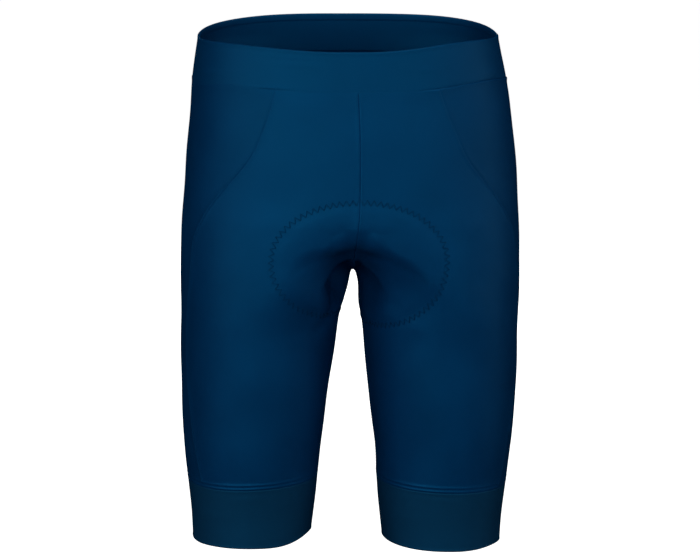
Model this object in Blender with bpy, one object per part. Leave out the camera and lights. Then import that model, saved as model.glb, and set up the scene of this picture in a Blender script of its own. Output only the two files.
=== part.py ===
"""Men's cycling shorts, filled out with no wearer: waistband, four body panels, two leg bands, seat pad.

The frame: +X to the wearer's left, +Y to the back, +Z up. The origin is the middle of the waist opening,
halfway up the waistband at its sides. Sizes are in millimetres, and become metres where a mesh is made.

The cloth follows one smooth form. At each height the form is a ring of four unlike quarters: out to the
side, in to the middle, forwards and back. Above the crotch the ring is cut off at the middle plane, where
its mirror image carries on. Below the crotch it is whole, and goes round one leg.
"""

import math
from collections import namedtuple

import bmesh
import bpy
import numpy as np

METRE = 0.001
SEAM_GAP = 0.3

# Heights of the main lines. A waist line is lower at the front than at the back.
Line = namedtuple("Line", "front side back")
WAIST_TOP = Line(front=16.5, side=19.0, back=34.0)
WAIST_SEAM = Line(front=-22.8, side=-19.0, back=-5.0)
CROTCH = -215.0
BAND_SEAM = -424.0
HEM = -485.5

# Wall thicknesses. A band is elastic cloth, folded double.
PANEL_WALL = 1.4
WAISTBAND_WALL = 2.2
LEG_BAND_WALL = 1.8

# The form's rings. side is half the width of the garment there, front and back are depths.
Ring = namedtuple("Ring", "height side front back squareness")
RINGS = (
    Ring(height=40, side=145.5, front=98, back=104, squareness=2.35),
    Ring(height=19, side=148.7, front=101, back=107, squareness=2.35),
    Ring(height=-19, side=155.3, front=105, back=114, squareness=2.35),
    Ring(height=-60, side=159.7, front=109, back=124, squareness=2.35),
    Ring(height=-110, side=164.6, front=112, back=132, squareness=2.30),
    Ring(height=-160, side=167.8, front=112, back=131, squareness=2.25),
    Ring(height=-215, side=168.9, front=106, back=117, squareness=2.20),
    Ring(height=-260, side=168.9, front=99, back=103, squareness=2.15),
    Ring(height=-320, side=168.0, front=93, back=93, squareness=2.10),
    Ring(height=-380, side=165.1, front=86, back=84, squareness=2.10),
    Ring(height=-424, side=160.4, front=79, back=74, squareness=2.10),
    Ring(height=-460, side=156.5, front=73, back=68, squareness=2.15),
    Ring(height=-500, side=154.6, front=69, back=64, squareness=2.15),
)

# The saddle between the legs: how tightly the cloth turns over it at the crotch, how much more it bridges
# from leg to leg above that, where the bridging ends, and how the inner thighs draw apart below.
SADDLE = 8.0
BRIDGE = 24.0
BRIDGE_SLOPE = 0.35
BRIDGE_BLEND = 6.0
BRIDGE_FADES = 70.0
BRIDGE_ENDS = 130.0
THIGH_SLOPE = 0.115
# Between these heights the ring's front and back move from the middle plane to the middle of the leg.
LEGS_BEGIN = CROTCH + 120.0
LEGS_APART = CROTCH - 50.0

# The curved seam between the front panel and the side-and-back panel, as an angle round the ring, where
# -90 is the front and 0 is the side.
Seam = namedtuple("Seam", "height angle")
SIDE_SEAM = (
    Seam(height=0, angle=-65),
    Seam(height=-60, angle=-58),
    Seam(height=-90, angle=-52),
    Seam(height=-115, angle=-43),
    Seam(height=-145, angle=-32),
    Seam(height=-175, angle=-25),
    Seam(height=-220, angle=-22),
    Seam(height=-330, angle=-23),
    Seam(height=-385, angle=-32),
    Seam(height=-424, angle=-39),
)

# How each leg hangs: its hem's shift up and outwards, and how much higher its inner edge is.
Leg = namedtuple("Leg", "name side lift lean tilt")
LEGS = (
    Leg(name="left", side=1, lift=-2.0, lean=-1.5, tilt=2.0),
    Leg(name="right", side=-1, lift=4.0, lean=1.5, tilt=3.5),
)

# The largest folds, as soft troughs from one height and angle to another. A fold of side 0 is on both sides.
Fold = namedtuple("Fold", "side height angle end_height end_angle depth reach")
FOLDS = (
    Fold(side=0, height=-164, angle=-99, end_height=-194, end_angle=-80, depth=2.6, reach=12),
    Fold(side=-1, height=-221, angle=-168, end_height=-262, end_angle=-128, depth=3.0, reach=11),
    Fold(side=1, height=-219, angle=-160, end_height=-246, end_angle=-118, depth=2.2, reach=11),
    Fold(side=0, height=-182, angle=99, end_height=-206, end_angle=80, depth=2.4, reach=13),
    Fold(side=-1, height=-222, angle=165, end_height=-246, end_angle=112, depth=2.4, reach=11),
    Fold(side=1, height=-224, angle=167, end_height=-264, end_angle=126, depth=2.8, reach=12),
)
FOLD_POINTS = 24
FOLD_FADE = 12.0

# The cloth of a seam with a band stands out as a low ridge.
RIDGE = 1.1
RIDGE_REACH = 4.0

# The seat pad is an oval, seen from the front or the back, sewn inside the panels. Its lower corners are
# squarer than its upper ones. It stands a little further off the crossing of the four body seams.
PAD_HALF_WIDTH = 88.0
PAD_MIDDLE = -190.0
PAD_BOTTOM = -255.0
PAD_LOW_SQUARENESS = 3.0
PAD_TOPS = {-1: -129.0, 1: -99.0}
PAD_FLAT_END = 3.0
PAD_CLEARANCE = 1.5 * SEAM_GAP
PAD_CROSSING = 2.0
PAD_CROSSING_REACH = 12.0
PAD_EDGE = 1.5
PAD_FULL = 7.0
PAD_SLOPE = 0.4

# How finely the cloth is divided. A panel's inner columns end at the pad's edge.
RIDGE_ROWS = (0.0, 2.5, 6.0)
ROWS_OVER_PAD = 4
PAD_HIP_ROWS = 10
PAD_LEG_ROWS = 4
ROWS_UNDER_PAD = 9
PAD_COLUMNS = 9
SIDE_COLUMNS = 8
WAISTBAND_ROWS = (0.0, 0.1, 0.35, 0.65, 0.9, 1.0)
WAISTBAND_COLUMNS = 30
LEG_BAND_ROWS = (0.0, 0.06, 0.14, 0.4, 0.7, 0.93, 1.0)
LEG_BAND_COLUMNS = 18
FINE = 600
# How late each row bends down to its ends on the middle plane, how far the rows near the crotch dip on
# their way there, and how many rows up that dip reaches. Below the crotch it ends with the pad.
ROW_BEND = 3.0
ROW_DIP = 10.0
ROW_DIP_REACH = 0.3
# Away from the pad, a panel's inner columns take up this share of it.
INNER_SHARE = 0.42
INNER_BLEND = 0.3


def smooth(value):
    """From 0 to 1, level at both ends."""
    value = np.clip(value, 0.0, 1.0)
    return value * value * (3.0 - 2.0 * value)


def read_table(rows, column, height):
    """A column of a table at any height, on a smooth curve through its rows."""
    known = np.array([row.height for row in rows], float)[::-1]
    values = np.array([getattr(row, column) for row in rows], float)[::-1]
    slopes = np.gradient(values, known)
    height = np.clip(height, known[0], known[-1])
    i = np.clip(np.searchsorted(known, height) - 1, 0, len(known) - 2)
    step = known[i + 1] - known[i]
    u = (height - known[i]) / step
    return (
        values[i] * (1 + 2 * u) * (1 - u) ** 2
        + slopes[i] * step * u * (1 - u) ** 2
        + values[i + 1] * u * u * (3 - 2 * u)
        + slopes[i + 1] * step * u * u * (u - 1)
    )


def saddle(height):
    """How widely the cloth bridges from leg to leg at a height."""
    above = height - CROTCH
    rise = 0.5 * BRIDGE_SLOPE * (above + np.hypot(above, BRIDGE_BLEND) - BRIDGE_BLEND)
    fade = smooth((above - BRIDGE_FADES) / (BRIDGE_ENDS - BRIDGE_FADES))
    return SADDLE + BRIDGE * np.tanh(rise / BRIDGE) * (1.0 - fade)


def side_edge(height):
    return np.hypot(read_table(RINGS, "side", height), saddle(height))


def inner_edge(height):
    """How far the ring's inner end is from the middle plane, before the saddle rounds it."""
    return SADDLE - THIGH_SLOPE * (height - CROTCH)


def ring_middle(height):
    """How far the ring's front and back points are from the middle plane."""
    leg = 0.5 * (side_edge(height) + inner_edge(np.minimum(height, CROTCH)))
    return leg * smooth((LEGS_BEGIN - height) / (LEGS_BEGIN - LEGS_APART))


def end_angle(height):
    """The angle round the ring at which it meets the middle plane, or half a turn on a leg."""
    middle = ring_middle(height)
    past = saddle(height) - middle
    quarter = np.where(past < 0, middle - inner_edge(height), side_edge(height) - middle)
    share = np.abs(past) / np.maximum(quarter, np.abs(past))
    cosine = np.sign(past) * share ** (0.5 * read_table(RINGS, "squareness", height))
    return np.where(height <= CROTCH, math.pi, np.arccos(cosine))


def form_point(height, angle):
    """The form's point at a height and at an angle round its ring, on the wearer's left."""
    middle = ring_middle(height)
    cosine, sine = np.cos(angle), np.sin(angle)
    power = 2.0 / read_table(RINGS, "squareness", height)
    across = np.where(cosine > 0, side_edge(height) - middle, middle - inner_edge(height))
    deep = np.where(sine > 0, read_table(RINGS, "back", height), read_table(RINGS, "front", height))
    x = middle + across * np.sign(cosine) * np.abs(cosine) ** power
    y = deep * np.sign(sine) * np.abs(sine) ** power
    x = np.sqrt(np.maximum(x * x - saddle(height) ** 2, 0.0))
    return np.stack([x, y, height + 0.0 * x], axis=-1)


def form_level(point):
    """Below 1 inside the form, 1 on it and above 1 outside."""
    y, height = point[..., 1], point[..., 2]
    x = np.hypot(point[..., 0], saddle(height))
    middle = ring_middle(height)
    squareness = read_table(RINGS, "squareness", height)
    across = np.where(x > middle, side_edge(height) - middle, np.maximum(middle - inner_edge(height), 1e-3))
    deep = np.where(y > 0, read_table(RINGS, "back", height), read_table(RINGS, "front", height))
    return (np.abs(x - middle) / across) ** squareness + (np.abs(y) / deep) ** squareness


def outward(points):
    """The direction straight out of the form at each point."""
    step = 0.05
    slopes = [form_level(points + step * axis) - form_level(points - step * axis) for axis in np.eye(3)]
    slope = np.stack(slopes, axis=-1)
    return slope / np.linalg.norm(slope, axis=-1, keepdims=True)


def lengths_along(points):
    return np.concatenate([[0.0], np.cumsum(np.linalg.norm(np.diff(points, axis=0), axis=1))])


def at_lengths(points, lengths):
    """The points at these lengths along a fine line of points."""
    along = lengths_along(points)
    return np.stack([np.interp(lengths, along, points[:, axis]) for axis in range(3)], axis=-1)


def line_height(line, turn):
    """A waist line's height, where turn is -1 at the front, 0 at the side and 1 at the back."""
    end = np.where(turn < 0, line.front, line.back)
    return line.side + (end - line.side) * np.sin(0.5 * math.pi * turn) ** 2


def middle_seam(toward):
    """The heights down the seam on the middle plane, and the share of its length from the waist at each."""
    top = WAIST_SEAM.front if toward < 0 else WAIST_SEAM.back
    heights = CROTCH + (top - CROTCH) * np.linspace(1.0, 0.0, FINE) ** 2
    along = lengths_along(form_point(heights, toward * end_angle(heights)))
    return heights, along / along[-1]


def middle_seam_height(share, toward):
    heights, shares = middle_seam(toward)
    return np.interp(share, shares, heights)


def body_line(row):
    """A fine line of points round half the body, or round a leg, from its front edge to its back edge.

    row is 0 at the waist seam, 1 at the crotch and 2 at the leg band's seam.
    """
    turn = np.linspace(-1.0, 1.0, FINE)
    if row >= 1.0:
        height = np.full(FINE, CROTCH + (row - 1.0) * (BAND_SEAM - CROTCH))
    else:
        height = line_height(WAIST_SEAM, turn)
        height += row * (CROTCH - height)
        front = middle_seam_height(row, -1) - height[0]
        back = middle_seam_height(row, 1) - height[-1]
        height += np.where(turn < 0, front, back) * np.abs(turn) ** ROW_BEND
    above = math.exp(-(((row - 1.0) / ROW_DIP_REACH) ** 2))
    below = smooth((pad_last_row() - row) / (pad_last_row() - 1.0))
    dip = ROW_DIP * min(above, below)
    height = height - dip * np.sin(math.pi * np.clip(2.0 * np.abs(turn) - 1.0, 0.0, 1.0))
    return form_point(height, turn * end_angle(height)), turn * end_angle(height)


def half_line(row, toward):
    """The body line from the middle seam out to the side seam, at the front (-1) or the back (1)."""
    line, angles = body_line(row)
    crossing = int(np.argmax(angles >= np.radians(read_table(SIDE_SEAM, "angle", line[:, 2]))))
    return line[: crossing + 1] if toward < 0 else line[crossing:][::-1]


def oval_level(points, toward):
    """Below 1 inside the seat pad's oval, as seen from the front (-1) or the back (1)."""
    up = points[..., 2] - PAD_MIDDLE
    reach = np.where(up > 0, PAD_TOPS[toward] - PAD_MIDDLE, PAD_MIDDLE - PAD_BOTTOM)
    power = np.where(up > 0, 2.0, PAD_LOW_SQUARENESS)
    across = np.abs(points[..., 0]) / PAD_HALF_WIDTH
    return (across**power + np.abs(up / reach) ** power) ** (1.0 / power)


def pad_first_row(toward):
    heights, shares = middle_seam(toward)
    return float(np.interp(PAD_FLAT_END - PAD_TOPS[toward], -heights, shares))


def pad_last_row():
    return 1.0 + (CROTCH - PAD_BOTTOM - PAD_FLAT_END) / (CROTCH - BAND_SEAM)


def pad_edge_length(row, toward):
    """How far along a half line the pad's edge crosses it, or where the inner columns end off the pad."""
    nearest = min(max(row, pad_first_row(toward)), pad_last_row())
    line = half_line(nearest, toward)
    crossing = int(np.argmax(oval_level(line, toward) >= 1.0))
    edge = lengths_along(line)[crossing]
    free = INNER_SHARE * lengths_along(half_line(row, toward))[-1]
    return edge + (free - edge) * smooth(abs(row - nearest) / INNER_BLEND)


def body_rows():
    """The rows of the body panels. Some lie close to a ridged seam, and some at the pad's ends."""
    hip, leg = WAIST_SEAM.side - CROTCH, CROTCH - BAND_SEAM
    near_waist = [(0.5 * SEAM_GAP + step) / hip for step in RIDGE_ROWS]
    near_band = [2.0 - (0.5 * SEAM_GAP + step) / leg for step in reversed(RIDGE_ROWS)]
    pad_top, pad_front_top = pad_first_row(1), pad_first_row(-1)
    over = np.linspace(near_waist[-1], pad_top, ROWS_OVER_PAD + 1)[1:]
    hips = np.linspace(pad_front_top, 1.0, PAD_HIP_ROWS + 1)
    legs = np.linspace(1.0, pad_last_row(), PAD_LEG_ROWS + 1)[1:]
    under = np.linspace(pad_last_row(), near_band[0], ROWS_UNDER_PAD + 1)[1:-1]
    return np.array([*near_waist, *over, *hips, *legs, *under, *near_band])


def panel_grid(toward):
    """The wearer's left front (-1) or back (1) panel's points on the form, from the middle to the side."""
    grid = []
    for row in body_rows():
        line = half_line(row, toward)
        middle = 0.5 * SEAM_GAP if row >= 1.0 else 0.0
        side = lengths_along(line)[-1] - 0.5 * SEAM_GAP
        edge = pad_edge_length(row, toward)
        inner = np.linspace(middle, edge, PAD_COLUMNS + 1)
        grid.append(at_lengths(line, [*inner, *np.linspace(edge, side, SIDE_COLUMNS + 1)[1:]]))
    grid = np.array(grid)
    grid[..., 0] += 0.5 * SEAM_GAP
    return grid


def ridge(distance):
    return RIDGE * np.exp(-((distance / RIDGE_REACH) ** 2))


def level(directions):
    """The directions with no rise or fall."""
    return directions * np.array([1.0, 1.0, 0.0])


def folded_in(points, leg):
    """How far the folds of that side take the cloth in from the form."""
    depth = np.zeros(points.shape[:-1])
    for fold in FOLDS:
        if fold.side not in (0, leg.side):
            continue
        heights = np.linspace(fold.height, fold.end_height, FOLD_POINTS)
        line = form_point(heights, np.radians(np.linspace(fold.angle, fold.end_angle, FOLD_POINTS)))
        distance = np.linalg.norm(points[..., None, :] - line, axis=-1).min(axis=-1)
        meets_other_side = smooth(points[..., 0] / FOLD_FADE) if fold.side else 1.0
        depth = np.maximum(depth, fold.depth * meets_other_side * np.exp(-((distance / fold.reach) ** 2)))
    return depth[..., None]


def posed(points, leg):
    """The points on the given side of the body, with that leg hanging as it does."""
    down = smooth((CROTCH - points[..., 2]) / (CROTCH - HEM))
    inwards = (ring_middle(points[..., 2]) - points[..., 0]) / 60.0
    x = leg.side * (points[..., 0] + leg.lean * down)
    z = points[..., 2] + (leg.lift + leg.tilt * inwards) * down
    return np.stack([x, points[..., 1], z], axis=-1)


def grid_faces(grid):
    """Two triangles for each cell of a grid of points, split along the cell's shorter diagonal."""
    rows, columns = grid.shape[:2]
    faces = []
    for r in range(rows - 1):
        for c in range(columns - 1):
            a, b = r * columns + c, r * columns + c + 1
            d, e = a + columns, b + columns
            falling = np.linalg.norm(grid[r + 1, c + 1] - grid[r, c])
            rising = np.linalg.norm(grid[r + 1, c] - grid[r, c + 1])
            faces += [(a, b, e), (a, e, d)] if falling < rising else [(a, b, d), (b, e, d)]
    return faces


def moved_on(faces, count):
    return [tuple(number + count for number in face) for face in faces]


def rim_faces(edge, other):
    """The faces between two matching lines of point numbers."""
    return [(edge[i], edge[i + 1], other[i + 1], other[i]) for i in range(len(edge) - 1)]


def wall_object(name, sheets, colour, roughness, collection):
    """One closed wall from sheets of (outer points, inner points, cells, open sides), joined where they meet."""
    points, faces = [], []
    for outer, inner, cells, sides in sheets:
        numbers = np.arange(outer[..., 0].size).reshape(outer.shape[:2])
        first, second = len(points), len(points) + numbers.size
        points += [tuple(point * METRE) for point in (*outer.reshape(-1, 3), *inner.reshape(-1, 3))]
        faces += moved_on(cells, first) + moved_on(cells, second)
        edges = {"top": numbers[0], "bottom": numbers[-1], "middle": numbers[:, 0], "side": numbers[:, -1]}
        for side in sides:
            faces += rim_faces((edges[side] + first).tolist(), (edges[side] + second).tolist())
    mesh = bpy.data.meshes.new(name)
    mesh.from_pydata(points, [], faces)
    cloth = bmesh.new()
    cloth.from_mesh(mesh)
    bmesh.ops.remove_doubles(cloth, verts=cloth.verts, dist=1e-6)
    bmesh.ops.recalc_face_normals(cloth, faces=cloth.faces)
    cloth.to_mesh(mesh)
    cloth.free()
    mesh.shade_smooth()
    mesh.set_sharp_from_angle(angle=math.radians(50))
    material = bpy.data.materials.new(name)
    material.use_nodes = True
    shader = material.node_tree.nodes["Principled BSDF"]
    shader.inputs["Base Color"].default_value = (*colour, 1.0)
    shader.inputs["Roughness"].default_value = roughness
    shader.inputs["Metallic"].default_value = 0.0
    mesh.materials.append(material)
    collection.objects.link(bpy.data.objects.new(name, mesh))


def panel(name, leg, toward, colour, collection):
    grid = panel_grid(toward)
    out = outward(grid)
    rows = body_rows()[:, None, None]
    raised = ridge(rows * (WAIST_SEAM.side - CROTCH)) + ridge((2.0 - rows) * (CROTCH - BAND_SEAM))
    folded = folded_in(grid, leg)
    outer = posed(grid + level(out) * raised - out * folded, leg)
    inner = posed(grid - out * (folded + PANEL_WALL), leg)
    sheet = (outer, inner, grid_faces(grid), ("top", "bottom", "middle", "side"))
    wall_object(name + leg.name, [sheet], colour, 0.7, collection)


def waistband(collection):
    """A tube from the waist seam up to the opening, in two mirrored halves joined front and back."""
    turn = np.linspace(-1.0, 1.0, WAISTBAND_COLUMNS + 1)
    seam = line_height(WAIST_SEAM, turn) + 0.5 * SEAM_GAP
    top = line_height(WAIST_TOP, turn)
    height = np.array([seam + share * (top - seam) for share in WAISTBAND_ROWS])
    grid = form_point(height, turn * end_angle(height))
    inner = grid - level(outward(grid)) * WAISTBAND_WALL
    mirrors = [np.array([side, 1, 1]) for side in (1, -1)]
    sheets = [(grid * mirror, inner * mirror, grid_faces(grid), ("top", "bottom")) for mirror in mirrors]
    wall_object("waistband", sheets, (0.005, 0.036, 0.105), 0.65, collection)


def leg_band(leg, collection):
    """A tube round the leg, from the band seam down to the hem."""
    angle = np.linspace(-math.pi, math.pi, 2 * LEG_BAND_COLUMNS + 1)
    top = BAND_SEAM - 0.5 * SEAM_GAP
    height = top + np.array(LEG_BAND_ROWS)[:, None] * (HEM - top) + 0.0 * angle
    grid = form_point(height, angle + 0.0 * height)
    grid[..., 0] += 0.5 * SEAM_GAP
    out = level(outward(grid))
    outer = posed(grid + out * ridge(BAND_SEAM - height)[..., None], leg)
    inner = posed(grid - out * LEG_BAND_WALL, leg)
    sheet = (outer, inner, grid_faces(grid), ("top", "bottom"))
    wall_object("leg_band_" + leg.name, [sheet], (0.006, 0.026, 0.064), 0.7, collection)


def seat_pad(collection):
    """Foam, thick in its middle and thin at its sewn edge, lying inside the four panels."""
    rows = body_rows()
    sheets = []
    for toward in (-1, 1):
        covered = (rows >= pad_first_row(toward) - 1e-9) & (rows <= pad_last_row() + 1e-9)
        grid = panel_grid(toward)[covered, : PAD_COLUMNS + 1]
        cells = grid_faces(grid)
        grid[:, 0] = [half_line(row, toward)[0] for row in rows[covered]]
        grid[rows[covered] > 1.0, 0, 0] += 0.5 * SEAM_GAP
        out = outward(grid)
        from_crossing = np.linalg.norm(grid - np.array([0.0, 0.0, CROTCH]), axis=-1)
        crossing = PAD_CROSSING * np.exp(-((from_crossing / PAD_CROSSING_REACH) ** 2))
        sewn = (PANEL_WALL + PAD_CLEARANCE + crossing)[..., None]
        thick = PAD_EDGE + (PAD_FULL - PAD_EDGE) * smooth((1.0 - oval_level(grid, toward)) / PAD_SLOPE)
        for leg in LEGS:
            under = sewn + folded_in(grid, leg)
            outer = posed(grid - out * under, leg)
            inner = posed(grid - out * (under + thick[..., None]), leg)
            sheets.append((outer, inner, cells, ("top", "bottom", "side")))
    wall_object("seat_pad", sheets, (0.003, 0.010, 0.020), 0.8, collection)


def main():
    for old in list(bpy.data.objects):
        bpy.data.objects.remove(old, do_unlink=True)
    collection = bpy.data.collections.new("cycling_shorts")
    bpy.context.scene.collection.children.link(collection)
    waistband(collection)
    for leg in LEGS:
        panel("front_", leg, -1, (0.004, 0.034, 0.105), collection)
        panel("back_", leg, 1, (0.004, 0.030, 0.092), collection)
        leg_band(leg, collection)
    seat_pad(collection)


main()
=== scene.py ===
"""Men's cycling shorts, dressed: stretch-knit shells, seams, stitching, seat pad, light and camera.

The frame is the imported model's: +X to the wearer's left, +Y to the back, +Z up, with the origin in the
middle of the waist opening. Sizes are in millimetres, and become metres where a mesh is made. Every shell
follows the same smooth form as the solid that it replaces, more finely. A side is 1 on the wearer's left and
-1 on their right, and a panel faces toward the front, -1, or toward the back, 1.
"""

import math
from collections import namedtuple

import bmesh
import bpy
import numpy as np
from mathutils import Matrix, Vector

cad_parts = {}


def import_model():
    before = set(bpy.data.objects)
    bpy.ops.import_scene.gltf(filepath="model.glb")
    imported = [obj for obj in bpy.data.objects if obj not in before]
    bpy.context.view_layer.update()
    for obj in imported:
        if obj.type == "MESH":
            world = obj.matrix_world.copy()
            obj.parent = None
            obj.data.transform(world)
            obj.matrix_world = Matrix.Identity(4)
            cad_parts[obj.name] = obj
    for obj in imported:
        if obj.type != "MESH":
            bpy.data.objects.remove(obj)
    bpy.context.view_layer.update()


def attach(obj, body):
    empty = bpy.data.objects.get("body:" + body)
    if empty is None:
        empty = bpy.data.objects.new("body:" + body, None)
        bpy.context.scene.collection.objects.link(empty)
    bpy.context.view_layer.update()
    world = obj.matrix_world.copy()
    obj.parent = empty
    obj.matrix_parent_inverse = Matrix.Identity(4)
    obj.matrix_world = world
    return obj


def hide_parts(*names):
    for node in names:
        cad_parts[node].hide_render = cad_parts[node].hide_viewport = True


METRE = 0.001

# ---------------- The form, as in the solids

Line = namedtuple("Line", "front side back")
WAIST_SEAM = Line(front=-22.8, side=-19.0, back=-5.0)
CROTCH = -215.0
BAND_SEAM = -424.0
HEM = -485.5

Ring = namedtuple("Ring", "height side front back squareness")
RINGS = (
    Ring(40, 145.5, 98, 104, 2.35),
    Ring(19, 148.7, 101, 107, 2.35),
    Ring(-19, 155.3, 105, 114, 2.35),
    Ring(-60, 159.7, 109, 124, 2.35),
    Ring(-110, 164.6, 112, 132, 2.30),
    Ring(-160, 167.8, 112, 131, 2.25),
    Ring(-215, 168.9, 106, 117, 2.20),
    Ring(-260, 168.9, 99, 103, 2.15),
    Ring(-320, 168.0, 93, 93, 2.10),
    Ring(-380, 165.1, 86, 84, 2.10),
    Ring(-424, 160.4, 79, 74, 2.10),
    Ring(-460, 156.5, 73, 68, 2.15),
    Ring(-500, 154.6, 69, 64, 2.15),
)

SADDLE = 8.0
BRIDGE = 24.0
BRIDGE_SLOPE = 0.35
BRIDGE_BLEND = 6.0
BRIDGE_FADES = 70.0
BRIDGE_ENDS = 130.0
THIGH_SLOPE = 0.115
LEGS_BEGIN = CROTCH + 120.0
LEGS_APART = CROTCH - 50.0
HIP_LENGTH = WAIST_SEAM.side - CROTCH
LEG_LENGTH = CROTCH - BAND_SEAM

Seam = namedtuple("Seam", "height angle")
SIDE_SEAM = (
    Seam(0, -65),
    Seam(-60, -58),
    Seam(-90, -52),
    Seam(-115, -43),
    Seam(-145, -32),
    Seam(-175, -25),
    Seam(-220, -22),
    Seam(-330, -23),
    Seam(-385, -32),
    Seam(-424, -39),
)

Leg = namedtuple("Leg", "name side lift lean tilt")
LEGS = (
    Leg(name="left", side=1, lift=-2.0, lean=-1.5, tilt=2.0),
    Leg(name="right", side=-1, lift=4.0, lean=1.5, tilt=3.5),
)

# ---------------- Folds

# Soft troughs from one height and angle to another, or ridges where the depth is below 0. A fold of side 0
# is on both sides of the body. These are in the solids too.
Fold = namedtuple("Fold", "side height angle end_height end_angle depth reach")
FOLDS = (
    Fold(0, -164, -99, -194, -80, 2.6, 12),
    Fold(-1, -221, -168, -262, -128, 3.0, 11),
    Fold(1, -219, -160, -246, -118, 2.2, 11),
    Fold(0, -182, 99, -206, 80, 2.4, 13),
    Fold(-1, -222, 165, -246, 112, 2.4, 11),
    Fold(1, -224, 167, -264, 126, 2.8, 12),
)
# Smaller folds that only the made garment has, on top of those.
SMALL_FOLDS = (
    Fold(0, -164, -99, -194, -80, -2.0, 12),
    Fold(0, -157, -112, -161, -93, -2.0, 15),
    Fold(0, -168, -111, -169, -106, -3.9, 14),
    Fold(1, -219, -160, -248, -116, -1.5, 12),
    Fold(1, -216, -124, -228, -100, 1.6, 26),
    Fold(-1, -238, -142, -264, -126, -2.6, 12),
    Fold(0, -150, -62, -176, -28, -0.9, 16),
    Fold(-1, -262, -120, -300, -150, 0.9, 14),
    Fold(1, -270, -112, -310, -146, 0.8, 14),
    Fold(0, -196, 126, -214, 98, 1.8, 9),
    Fold(-1, -232, 100, -240, 62, 1.3, 11),
    Fold(1, -228, 108, -238, 70, 1.5, 10),
    Fold(-1, -352, 130, -346, 58, 1.1, 9),
    Fold(-1, -372, 112, -378, 70, 0.8, 7),
    Fold(1, -360, 126, -352, 64, 1.2, 9),
    Fold(1, -384, 104, -390, 66, 0.7, 7),
)
FOLD_POINTS = 24
FOLD_FADE = 12.0

# Where the front steps in below a line of (across, height): under the seat pad's front, and beside the crotch
# on each inner thigh. Below the line the cloth goes in over the fall, stays in down to the hold, and comes
# out again over the rise. Across, a ledge grows from the middle to its begin, and fades past its end.
Ledge = namedtuple("Ledge", "side depth fall hold rise begin end fade line")
LEDGES = (
    Ledge(-1, 4.4, 19, 22, 40, 16, 44, 30,
          line=((0, -172), (39, -172), (48, -174), (60, -180), (72, -190))),
    Ledge(1, 4.4, 19, 26, 46, 16, 48, 34,
          line=((0, -172), (15, -172), (29, -174), (49, -183), (59, -191), (75, -208))),
    Ledge(-1, 17.0, 11, 24, 26, 5, 6, 32,
          line=((0, -188), (14, -197), (24, -205), (34, -212), (50, -226))),
    Ledge(1, 7.0, 8, 20, 30, 5, 3, 26,
          line=((0, -190), (9, -202), (16, -209), (23, -217), (28, -222), (40, -234))),
)
LEDGE_BLEND = 8.0
LEDGE_FRONT = 34.0

# ---------------- How it hangs

# How the made garment stands off the solids' even form: the waist sways to the wearer's right, the crotch is
# drawn up, the gap below it is to one side, the front seam leans near its lower end, and the leg bands stand
# out a little on their inner sides. A leg tilts by its tilt over TILT_REACH.
TILT_REACH = 60.0
SWAY = -4.0
SWAY_FROM = -90.0
SWAY_LENGTH = 125.0
Shift = namedtuple("Shift", "distance height tall wide")
CROTCH_LIFT = Shift(distance=4.5, height=CROTCH, tall=16.0, wide=14.0)
GAP_SHIFT = Shift(distance=3.2, height=-226.0, tall=18.0, wide=34.0)
SEAM_LEAN = Shift(distance=-3.0, height=-178.0, tall=29.0, wide=40.0)
HEM_FLARE = 2.2
FLARE_FROM = -385.0
FLARE_LENGTH = 70.0

# ---------------- Division and sewing

# How the waistband's two edges rise and dip, where turn is 0 at the side, -1 at the front and 1 at the back.
Rise = namedtuple("Rise", "side turn height reach")
WAIST_RISES = (
    Rise(1, -0.44, 5.5, 0.30),
    Rise(1, 0.50, 1.5, 0.25),
    Rise(-1, -0.52, 3.0, 0.18),
    Rise(-1, -0.20, -2.5, 0.14),
    Rise(-1, 0.45, -1.5, 0.25),
)
TOP_ENDS = Line(front=15.7, side=21.5, back=33.0)
TOP_RISES = (
    Rise(1, -0.62, 3.2, 0.32),
    Rise(1, 0.14, 2.8, 0.42),
    Rise(1, 0.60, 1.4, 0.30),
    Rise(-1, -0.05, -1.0, 0.40),
    Rise(-1, 0.80, 0.4, 0.25),
)
# An edge goes from its side to its ends as a power of the turn's sine, in front and behind.
SEAM_POWERS = (2.0, 2.0)
TOP_POWERS = (6.0, 1.3)
# How far the waistband's back stands out in its corners.
BACK_CORNER = 4.5
BACK_CORNER_FROM = -15.0
BACK_CORNER_LENGTH = 30.0

# Soft unevenness: each wave's turns for a millimetre across, front to back and up, its shift and its height.
Wave = namedtuple("Wave", "across deep up shift height")
WAVES = (
    Wave(0.0071, 0.0043, 0.0092, 0.13, 0.30),
    Wave(-0.0118, 0.0075, 0.0061, 0.48, 0.22),
    Wave(0.0043, -0.0131, -0.0149, 0.77, 0.16),
)

# The panels' rows bend above the crotch to meet each middle seam at one share of its length, and dip beside
# it. The steps are how far the lines beside an edge are from it.
FINE = 1400
ROW_BEND = 3.0
ROW_DIP = 10.0
ROW_DIP_REACH = 0.3
ROW_DIP_ENDS = 1.18
EDGE_STEPS = (0.01, 0.35, 0.7, 1.1, 1.6, 2.2, 3.0, 4.0)
WAIST_STEPS = (0.01, 0.4, 0.8, 1.3, 1.9, 2.6, 3.4, 4.4, 5.6, 7.0)
BAND_STEPS = (0.01, 0.4, 0.8, 1.2, 1.7, 2.2, 2.8, 3.4, 4.0, 4.6, 5.1, 5.6, 6.1, 6.7, 7.4, 8.2)
HIP_ROWS = 84
LEG_ROWS = 84
PANEL_COLUMNS = 66
RING_COLUMNS = 128

PANEL_CLOTH = 0.9
WAISTBAND_CLOTH = 1.9
LEG_BAND_CLOTH = 1.5

# A panel's folds end short of its bands, and its seams begin a little way from them.
RELIEF_FADE = 14.0
SEAMS_FROM_WAIST = 2.0
SEAMS_FROM_BAND = 2.5
SEAMS_FADE = 3.0

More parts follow.
